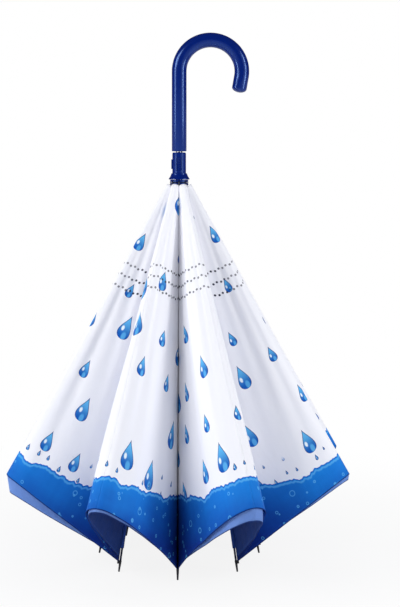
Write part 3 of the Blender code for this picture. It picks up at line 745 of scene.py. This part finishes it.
def hook_handle(material):
    """A round bar with a straight leg and a half-round hook that ends in a dome."""
    radius = HANDLE_HIGH.y
    foot = HANDLE_LOW.z
    shoulder = foot + HANDLE_STRAIGHT
    bend = HANDLE_HIGH.z - shoulder - radius
    bm = bmesh.new()
    bevel = HANDLE_EDGE * HANDLE_BEVEL_SHARE
    start, ring = turned(bm, [
        (radius - HANDLE_EDGE, foot), (radius - bevel, foot + bevel),
        (radius, foot + HANDLE_EDGE), (radius, shoulder),
    ])
    bmesh.ops.edgeloop_fill(bm, edges=start)
    centre = Vector((bend, 0, shoulder))
    profile = list({vert for edge in ring for vert in edge.verts})
    last = bmesh.ops.spin(
        bm, geom=profile + ring, cent=centre, axis=(0, 1, 0), angle=HOOK_TURN, steps=HOOK_STEPS,
    )["geom_last"]
    ring = [part for part in last if isinstance(part, bmesh.types.BMEdge)]
    end = turn_about(centre, Vector((0, 1, 0)), HOOK_TURN) @ Matrix.Translation((0, 0, shoulder))
    straight = HOOK_END_STRAIGHT - HOOK_END_REACH
    ring = turned(bm, [(radius, 0), (radius, straight)], end, edges=ring)[1]
    ring = turned(bm, rounded(radius, straight, HOOK_END_REACH), end, edges=ring)[1]
    bmesh.ops.edgeloop_fill(bm, edges=ring)
    return finished(bm, "handle_hook", material)


def flared_skirt(material):
    """The runner's cone, with a lip above and below."""
    base, top = SKIRT_HIGH.x, SKIRT_TOP_RADIUS
    low, high, inner = SKIRT_LOW.z, SKIRT_HIGH.z, SLEEVE_HIGH.x + SKIRT_BORE_SPARE
    bm = bmesh.new()
    first, last = turned(bm, [
        (inner, low), (base - SKIRT_EDGE, low), (base, low + SKIRT_EDGE), (base, low + SKIRT_LIP),
        (base - SKIRT_STEP, low + SKIRT_LIP + SKIRT_STEP_RISE),
        (top + SKIRT_WAIST_OUT, low + SKIRT_WAIST_RISE),
        (top + SKIRT_NECK_OUT, high - SKIRT_LIP - SKIRT_STEP), (top, high - SKIRT_LIP),
        (top, high - SKIRT_EDGE), (top - SKIRT_EDGE, high), (inner, high),
    ])
    bmesh.ops.bridge_loops(bm, edges=first + last)
    return finished(bm, "runner_flare", material)


def ribbed_grip(material):
    """The thumb pad: a framed plate with rounded ribs across it."""
    width, length = GRIP_HIGH.x - GRIP_LOW.x, GRIP_HIGH.z - GRIP_LOW.z
    face = GRIP_LOW.y + GRIP_BEAD_HEIGHT
    depth = GRIP_HIGH.y - face
    middle = (GRIP_LOW.z + GRIP_HIGH.z) / 2
    bm = bmesh.new()
    at = Matrix.Translation((0, face + depth / 2, middle)) @ Matrix.Diagonal((width, depth, length, 1))
    bmesh.ops.create_cube(bm, size=1, matrix=at)
    fronts = [each for each in bm.faces if each.normal.y < -0.9]
    bmesh.ops.inset_region(bm, faces=fronts, thickness=GRIP_FRAME, depth=0)
    plate = list({vert for each in fronts for vert in each.verts})
    bmesh.ops.translate(bm, vec=(0, GRIP_SUNK, 0), verts=plate)
    pitch = (length - 2 * GRIP_FRAME) / GRIP_BEADS
    for bead in range(GRIP_BEADS):
        height = GRIP_LOW.z + GRIP_FRAME + (bead + 0.5) * pitch
        lying = Matrix.Translation((0, face + GRIP_SUNK, height)) @ Matrix.Rotation(math.pi / 2, 4, "Y")
        lying = lying @ Matrix.Diagonal((pitch * GRIP_BEAD_SHARE / MM, 1.0, 1, 1))
        bmesh.ops.create_cone(
            bm, cap_ends=True, segments=20, radius1=MM, radius2=MM, depth=width - 2 * GRIP_FRAME,
            matrix=lying,
        )
    return finished(bm, "runner_thumb_pad", material)


# Canopy.

# Faces of a half gore, across it and down it.
ACROSS = 44
DOWN = 120
# Where the cloth starts, along a rib and along a gore's middle, and how far it keeps off the fold's axis.
RIB_START = 6.5 * MM
SEAM_START_REACH = 5.5 * MM
OFF_FOLD = 0.5 * MM
# The two inner points of the curve across a half gore, as shares of its depth, half width and drop.
SIDE_SHARE = 0.6
CROWN_SHARE = 0.62
DROP_SHARE = 0.58
LAYER_GAP = 3.5 * MM
LINING_SHORT = 6 * MM
# The sleeve on each rib, and its stretches along the rib, above and below the stretcher's bracket.
CHANNEL_RADIUS = 2.3 * MM
CHANNEL_STEPS = 20
CHANNEL_OFF_HEM = 20 * MM
CHANNEL_SPANS = ((26 * MM, 112 * MM), (128 * MM, 546 * MM))

# How far each layer's hem hangs past the seam's straight part, gore by gore.
PRINT_HANGS = (9 * MM, 0.5 * MM, 4 * MM, 3 * MM, 2 * MM, 3 * MM, 1 * MM, 10 * MM)
LINING_HANGS = (27 * MM, 9 * MM, 14 * MM, 18 * MM, 12 * MM, 16 * MM, 27 * MM, 15 * MM)
# How far each gore's middle hangs inwards at the hem, gore by gore.
HEM_SINKS = (0.5 * MM, 0.5 * MM, 0.5 * MM, 0.5 * MM, 1.2 * MM, 0.5 * MM, 2.5 * MM, 0.5 * MM)
# How far each gore's middle sags inwards halfway down, gore by gore.
SAGS = (1 * MM, 1.5 * MM, 1 * MM, 0.5 * MM, 1.2 * MM, 0.5 * MM, 2 * MM, 1 * MM)
# How far out a hanging hem goes for each metre of cloth. Below 0 it goes inwards.
HANG_OUT = -0.15
# The broad and the fine folds: noise cells across a gore, down it and from gore to gore, and their start.
BROAD_FOLDS = (2.6, 0.9, 7.7, 0)
FINE_FOLDS = (6.5, 1.7, 3.1, 40)
FINE_FOLD_STRENGTH = 0.45
# How far from the rib, and from the top, the folds reach their full depth, and what they lose at the seam.
FOLD_RIB_SHARE = 0.35
FOLD_TOP_SHARE = 0.35
FOLD_SEAM_LOSS = 0.75
# The same for the gap between the layers.
GAP_RIB_SHARE = 0.25
GAP_TOP_SHARE = 0.08
GAP_SEAM_LOSS = 0.85


def fold_noise(gore, turn, share, folds):
    across, down, apart, start = folds
    return noise.noise(Vector((turn * across, share * down, gore * apart + start)))


def fold_depth(gore, turn, share, edge):
    """Depth of the soft folds that run from the hub to the hem. edge is the part of it left here."""
    broad = fold_noise(gore, turn, share, BROAD_FOLDS)
    fine = fold_noise(gore, turn, share, FINE_FOLDS)
    swell = math.sin(math.pi * min(max(share, 0), 1)) * 0.5 + 0.5
    return (broad + FINE_FOLD_STRENGTH * fine) * swell * edge


def off_rib(across, full_share):
    """0 at the rib, rising smoothly to 1 at full_share of the way to the seam."""
    return math.sin(math.pi / 2 * min(1.0, across / full_share))


def gore_point(gore, sign, across, share, inset, seam_end, rib_end):
    """A point of a half gore in its rib's own axes, with the half on the rib's left."""
    look = sizes()
    rib_reach = RIB_START + (rib_end - RIB_START) * share
    seam_reach = SEAM_START_REACH + (seam_end - SEAM_START_REACH) * share
    flared = Vector((math.cos(look.flare), math.sin(look.flare), 0))
    at_rib = FOLD + RIB_WAY * rib_reach + Vector((OFF_FOLD, 0, 0))
    drape = max(0.0, seam_reach - look.seam_end - PRINT_HANGS[gore])
    hanging = SEAM_OUTWARD * HANG_OUT - UP * math.sqrt(1 - HANG_OUT**2)
    at_seam = SEAM_START + SEAM_WAY * (seam_reach - drape) + hanging * drape
    depth = math.hypot(at_seam.x, at_seam.y) - math.hypot(at_rib.x, at_rib.y)
    drop = at_seam.z - at_rib.z
    half_width = -SEAM_NORMAL.dot(at_rib)
    side = at_rib + flared * (depth * SIDE_SHARE) + UP * (drop * DROP_SHARE)
    crown = at_seam - SEAM_NORMAL * (half_width * CROWN_SHARE)
    rest = 1 - across
    point = at_rib * rest**3 + side * (3 * rest**2 * across)
    point += crown * (3 * rest * across**2)
    point += at_seam * across**3
    slope = (side - at_rib) * rest**2 + (crown - side) * (2 * rest * across) + (at_seam - crown) * across**2
    normal = Vector((slope.y, -slope.x, 0)).normalized()
    sink = SAGS[gore] * math.sin(math.pi * share) + HEM_SINKS[gore] * share**2
    point -= SEAM_OUTWARD * (sink * across**2)
    away = off_rib(across, FOLD_RIB_SHARE) * (1 - FOLD_SEAM_LOSS * across**4)
    fold = fold_depth(gore, sign * rest, share, away) * look.pleat * min(1.0, share / FOLD_TOP_SHARE)
    point += normal * fold
    apart = off_rib(across, GAP_RIB_SHARE) * (1 - GAP_SEAM_LOSS * across**6)
    return point - normal * (inset * apart * min(1.0, share / GAP_TOP_SHARE))


def thickened(piece, shaded_side=None):
    """Gives a sheet the cloth's thickness, half to each side, and, where given, a darker copy of its
    material on the other side as painted shade.
    """
    skin = piece.modifiers.new("Cloth", "SOLIDIFY")
    skin.thickness = sizes().thickness
    skin.offset = 0
    if shaded_side is not None:
        piece.data.materials.append(shaded_side)
        skin.material_offset = 1
    return piece


def cloth_half(name, rib, side, lining, material, shaded_side=None):
    """Half of a gore, from its rib's fold line to the seam in the gore's middle.

    side is 1 on the rib's left and -1 on its right. The layer called lining is the plain one.
    """
    look = sizes()
    gore = rib if side > 0 else (rib - 1) % RIB_COUNT
    seam_end = look.seam_end + (LINING_HANGS if lining else PRINT_HANGS)[gore]
    rib_end = look.rib_end - (LINING_SHORT if lining else 0)
    inset = LAYER_GAP if lining else 0
    turn = rib_frame(rib)
    bm = bmesh.new()
    bmesh.ops.create_grid(bm, x_segments=ACROSS, y_segments=DOWN, size=0.5)
    cut, edge = bm.loops.layers.uv.new("Cut"), bm.loops.layers.uv.new("Edge")
    shares = {vert: (vert.co.x + 0.5, vert.co.y + 0.5) for vert in bm.verts}
    rows = {}
    for vert, (across, share) in shares.items():
        point = gore_point(gore, -side, across, share, inset, seam_end, rib_end)
        vert.co = turn @ Vector((point.x, point.y * side, point.z))
        rows.setdefault(round(share * DOWN), []).append(vert)
    flat = {}
    for row in rows.values():
        row.sort(key=lambda vert: -shares[vert][0])
        spent, last = 0.0, row[0].co
        for vert in row:
            spent += (vert.co - last).length
            last = vert.co
            flat[vert] = spent
        for vert in row:
            share = shares[vert][1]
            at_seam = SEAM_START_REACH + (seam_end - SEAM_START_REACH) * share
            rib_reach = RIB_START + (rib_end - RIB_START) * share
            at_rib = math.sqrt(max(rib_reach**2 - spent**2, 0))
            down = at_seam + (at_rib - at_seam) * (flat[vert] / spent) ** 2
            flat[vert] = (-side * flat[vert], down, (1 - share) * (seam_end + rib_end) / 2)
    for face in bm.faces:
        for loop in face.loops:
            across_metres, down, hem = flat[loop.vert]
            loop[cut].uv = (across_metres, down)
            loop[edge].uv = (hem, gore)
    area = sum(face.calc_area() for face in bm.faces)
    front = turn @ Vector((SEAM_OUTWARD.x, SEAM_OUTWARD.y * side, 0))
    piece = thickened(finished(bm, name, material, math.pi, front), shaded_side)
    word = "left" if side > 0 else "right"
    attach(piece, f"gore_{rib}_{word}")
    return piece


def rib_channel(rib, material):
    """The cloth sleeve that holds a rib to the plain layer, with a gap for the stretcher's bracket."""
    turn = rib_frame(rib)
    along = (turn @ RIB_WAY).to_track_quat("Z", "Y").to_matrix().to_4x4()
    place = Matrix.Translation(turn @ HINGE) @ along
    back = place.inverted()
    bm = bmesh.new()
    for low, high in CHANNEL_SPANS:
        steps = [low + (high - low) * step / CHANNEL_STEPS for step in range(CHANNEL_STEPS + 1)]
        turned(bm, [(CHANNEL_RADIUS, reach) for reach in steps], place, segments=20)
    cut, edge = bm.loops.layers.uv.new("Cut"), bm.loops.layers.uv.new("Edge")
    for face in bm.faces:
        for loop in face.loops:
            spot = back @ loop.vert.co
            loop[cut].uv = (math.atan2(spot.y, spot.x) * CHANNEL_RADIUS, spot.z)
            loop[edge].uv = (CHANNEL_OFF_HEM, rib)
    area = sum(face.calc_area() for face in bm.faces)
    piece = thickened(finished(bm, f"rib_channel_{rib}", material))
    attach(piece, f"rib_{rib}")
    return piece


# Operators.

def made_once(name, make, *given):
    """The material of that name, made on its first use."""
    return bpy.data.materials.get(name) or make(name, *given)


def blue_plastic():
    look = bpy.context.scene.plastic_look
    return made_once("navy_plastic", glossy_plastic, look.colour, look.roughness)


NYLON = (0.012, 0.012, 0.016)
FIBREGLASS = (0.006, 0.012, 0.045)
STEEL = (0.42, 0.43, 0.45)
STEEL_ROUGHNESS = 0.22
LINING_DEEP = (0.07, 0.17, 0.52)
# The deeper blue of the plain layer's painted-shade copy.
LINING_SHADE_DEEP = (0.006, 0.03, 0.20)

# The starts of the frame pieces' names, and the finish of each. The first that fits counts.
FRAME_LOOKS = (
    (("runner_sleeve", "release_button", "rib_hub"), blue_plastic),
    (("top_notch", "ferrule_cap", "rib_tip_"), lambda: made_once("black_nylon", matt_rod, NYLON)),
    (("rib_", "stretcher_"), lambda: made_once("black_fibreglass", matt_rod, FIBREGLASS)),
    (
        ("shaft_tube", "hub_wire", "notch_wire", "button_spring_leaf"),
        lambda: made_once("bright_steel", metal, STEEL, STEEL_ROUGHNESS),
    ),
)


class UMBRELLA_OT_frame_parts(bpy.types.Operator):
    """Gives the shaft, hub, notch, ribs, tips and stretchers their finishes"""

    bl_idname = "umbrella.frame_parts"
    bl_label = "Frame Parts"

    def execute(self, context):
        for name, node in frame["nodes"].items():
            make = next((make for starts, make in FRAME_LOOKS if name.startswith(starts)), None)
            if make is None:
                continue
            node.data.materials.clear()
            node.data.materials.append(make())
        return {"FINISHED"}


class UMBRELLA_OT_handle(bpy.types.Operator):
    """Builds the hooked handle"""

    bl_idname = "umbrella.handle"
    bl_label = "Hooked Handle"

    def execute(self, context):
        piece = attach(hook_handle(blue_plastic()), "shaft")
        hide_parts("crook_handle")
        return {"FINISHED"}


class UMBRELLA_OT_runner(bpy.types.Operator):
    """Builds the runner's flared skirt and its ribbed thumb pad"""

    bl_idname = "umbrella.runner"
    bl_label = "Runner"

    def execute(self, context):
        for make, node in ((flared_skirt, "runner_skirt"), (ribbed_grip, "thumb_grip")):
            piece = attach(make(blue_plastic()), "runner")
            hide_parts(node)
        return {"FINISHED"}


class UMBRELLA_OT_printed_layer(bpy.types.Operator):
    """Builds the printed canopy layer, two halves to a gore"""

    bl_idname = "umbrella.printed_layer"
    bl_label = "Printed Layer"

    def execute(self, context):
        material = printed_cloth()
        for rib in range(RIB_COUNT):
            for word, side in (("left", 1), ("right", -1)):
                piece = cloth_half(f"printed_cloth_{rib}_{word}", rib, side, False, material)
                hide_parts(f"inner_gore_{rib}_{word}")
        return {"FINISHED"}


class UMBRELLA_OT_plain_layer(bpy.types.Operator):
    """Builds the plain canopy layer, two halves to a gore, and its rib channels"""

    bl_idname = "umbrella.plain_layer"
    bl_label = "Plain Layer"

    def execute(self, context):
        look = colours()
        front = plain_cloth("plain_pongee", look.lining, LINING_DEEP)
        # The plain layer's other side and its rib channels get a darker copy of its cloth, as painted
        # shade.
        back = plain_cloth("plain_pongee_shaded", look.lining_shaded, LINING_SHADE_DEEP)
        for rib in range(RIB_COUNT):
            for word, side in (("left", 1), ("right", -1)):
                piece = cloth_half(f"plain_cloth_{rib}_{word}", rib, side, True, front, back)
                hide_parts("outer_canopy")
            rib_channel(rib, back)
        return {"FINISHED"}


LAMPS = (
    # name, place, aim, width, height, watts
    ("key_lamp", (-2.2, -1.7, 1.9), (0, 0, 0.35), 1.2, 1.2, 24),
    ("fill_lamp", (2.0, -1.9, 1.0), (0, 0, 0.35), 1.4, 1.6, 4.5),
    ("left_strip", (-1.3, -0.6, 0.9), (0, 0, 0.6), 0.26, 1.2, 9),
    ("right_strip", (1.3, -0.6, 0.9), (0, 0, 0.6), 0.26, 1.2, 10),
)
ROOM_LIGHT = 0.45
ROOM_DIMMED = 0.4
ROOM_TINT = (0.90, 0.93, 1.0)
CAMERA_PLACE = (0.032, -1.8, 0.575)
CAMERA_LENS = 69.45
CAMERA_SHIFT = -0.2055


FLOOR_SIZE = 30
FLOOR_GREYS = ((0.93, 0.93, 0.93), (0.95, 0.95, 0.95))
# The share of plain white in the floor under the umbrella, and where it grows to all of it.
GLOW_NEAR_SHARE = 0.87
GLOW_REACH = (0.2, 0.8)


def pale_floor():
    """A floor that the camera sees as white, with a faint shadow under the umbrella."""
    bm = bmesh.new()
    bmesh.ops.create_grid(bm, x_segments=1, y_segments=1, size=FLOOR_SIZE)
    tree = Finish("pale_floor")
    shade = tree.mix(tree.noise(tree.place(), 3.0) * 0.5, *FLOOR_GREYS)
    diffuse = tree.add("ShaderNodeBsdfPrincipled", {}, {"Base Color": shade, "Roughness": 0.8})
    glow = tree.add("ShaderNodeEmission", {}, {"Color": (1, 1, 1, 1), "Strength": 1.0})
    far = tree.add("ShaderNodeVectorMath", {"operation": "LENGTH"}, {0: tree.place()}, "Value")
    white = far.step(*GLOW_REACH) * (1.0 - GLOW_NEAR_SHARE) + GLOW_NEAR_SHARE
    seen = tree.add("ShaderNodeLightPath", {}, {}, "Is Camera Ray") * white
    shader = tree.add("ShaderNodeMixShader", {}, {0: seen, 1: diffuse, 2: glow})
    return finished(bm, "floor", tree.ended(shader))


def studio_room():
    """White to the camera, and a dim, cool room to everything else."""
    sky = Finish("studio", "worlds")
    seen = sky.add("ShaderNodeLightPath", {}, {}, "Is Camera Ray")
    glossy = sky.add("ShaderNodeLightPath", {}, {}, "Is Glossy Ray")
    strength = seen.most(ROOM_LIGHT - glossy * ROOM_DIMMED)
    tint = sky.mix(seen, ROOM_TINT, (1, 1, 1))
    background = sky.add("ShaderNodeBackground", {}, {"Color": tint, "Strength": strength})
    return sky.ended(background, "ShaderNodeOutputWorld")


def area_lamp(name, place, aim, width, height, watts):
    light = bpy.data.lights.new(name, "AREA")
    light.shape = "RECTANGLE"
    light.size = width
    light.size_y = height
    light.energy = watts
    lamp = bpy.data.objects.new(name, light)
    lamp.location = place
    lamp.rotation_euler = (Vector(aim) - Vector(place)).to_track_quat("-Z", "Y").to_euler()
    return lamp


def product_camera():
    view = bpy.data.cameras.new("product_view")
    view.lens = CAMERA_LENS
    view.sensor_width = 36
    view.shift_y = CAMERA_SHIFT
    camera = bpy.data.objects.new("product_view", view)
    camera.location = CAMERA_PLACE
    camera.rotation_euler = (math.pi / 2, 0, 0)
    return camera


class UMBRELLA_OT_stage(bpy.types.Operator):
    """Builds the floor, the lamps and the camera"""

    bl_idname = "umbrella.stage"
    bl_label = "Stage"

    def execute(self, context):
        scene = context.scene
        scene.view_settings.view_transform = "Standard"
        floor = pale_floor()
        scene.world = studio_room()
        for lamp in LAMPS:
            scene.collection.objects.link(area_lamp(*lamp))
        scene.camera = product_camera()
        scene.collection.objects.link(scene.camera)
        return {"FINISHED"}


OPERATORS = (
    UMBRELLA_OT_frame_parts, UMBRELLA_OT_handle, UMBRELLA_OT_runner, UMBRELLA_OT_printed_layer,
    UMBRELLA_OT_plain_layer, UMBRELLA_OT_stage,
)


class UMBRELLA_PT_build(bpy.types.Panel):
    """Lists the umbrella's operators and settings"""

    bl_label = "Inverted Umbrella"
    bl_idname = "UMBRELLA_PT_build"
    bl_space_type = "VIEW_3D"
    bl_region_type = "UI"
    bl_category = "Umbrella"

    def draw(self, context):
        for operator in OPERATORS:
            self.layout.operator(operator.bl_idname)
        for attribute, group in GROUPS:
            box = self.layout.box()
            for setting in group.__annotations__:
                box.prop(getattr(context.scene, attribute), setting)


def register():
    for attribute, group in GROUPS:
        bpy.utils.register_class(group)
        setattr(bpy.types.Scene, attribute, bpy.props.PointerProperty(type=group))
    for operator in OPERATORS:
        bpy.utils.register_class(operator)
    bpy.utils.register_class(UMBRELLA_PT_build)


def unregister():
    bpy.utils.unregister_class(UMBRELLA_PT_build)
    for operator in reversed(OPERATORS):
        bpy.utils.unregister_class(operator)
    for attribute, group in reversed(GROUPS):
        delattr(bpy.types.Scene, attribute)
        bpy.utils.unregister_class(group)


def main():
    register()
    bpy.ops.umbrella.frame_parts()
    bpy.ops.umbrella.handle()
    bpy.ops.umbrella.runner()
    bpy.ops.umbrella.printed_layer()
    bpy.ops.umbrella.plain_layer()
    bpy.ops.umbrella.stage()


if __name__ == "__main__":
    main()
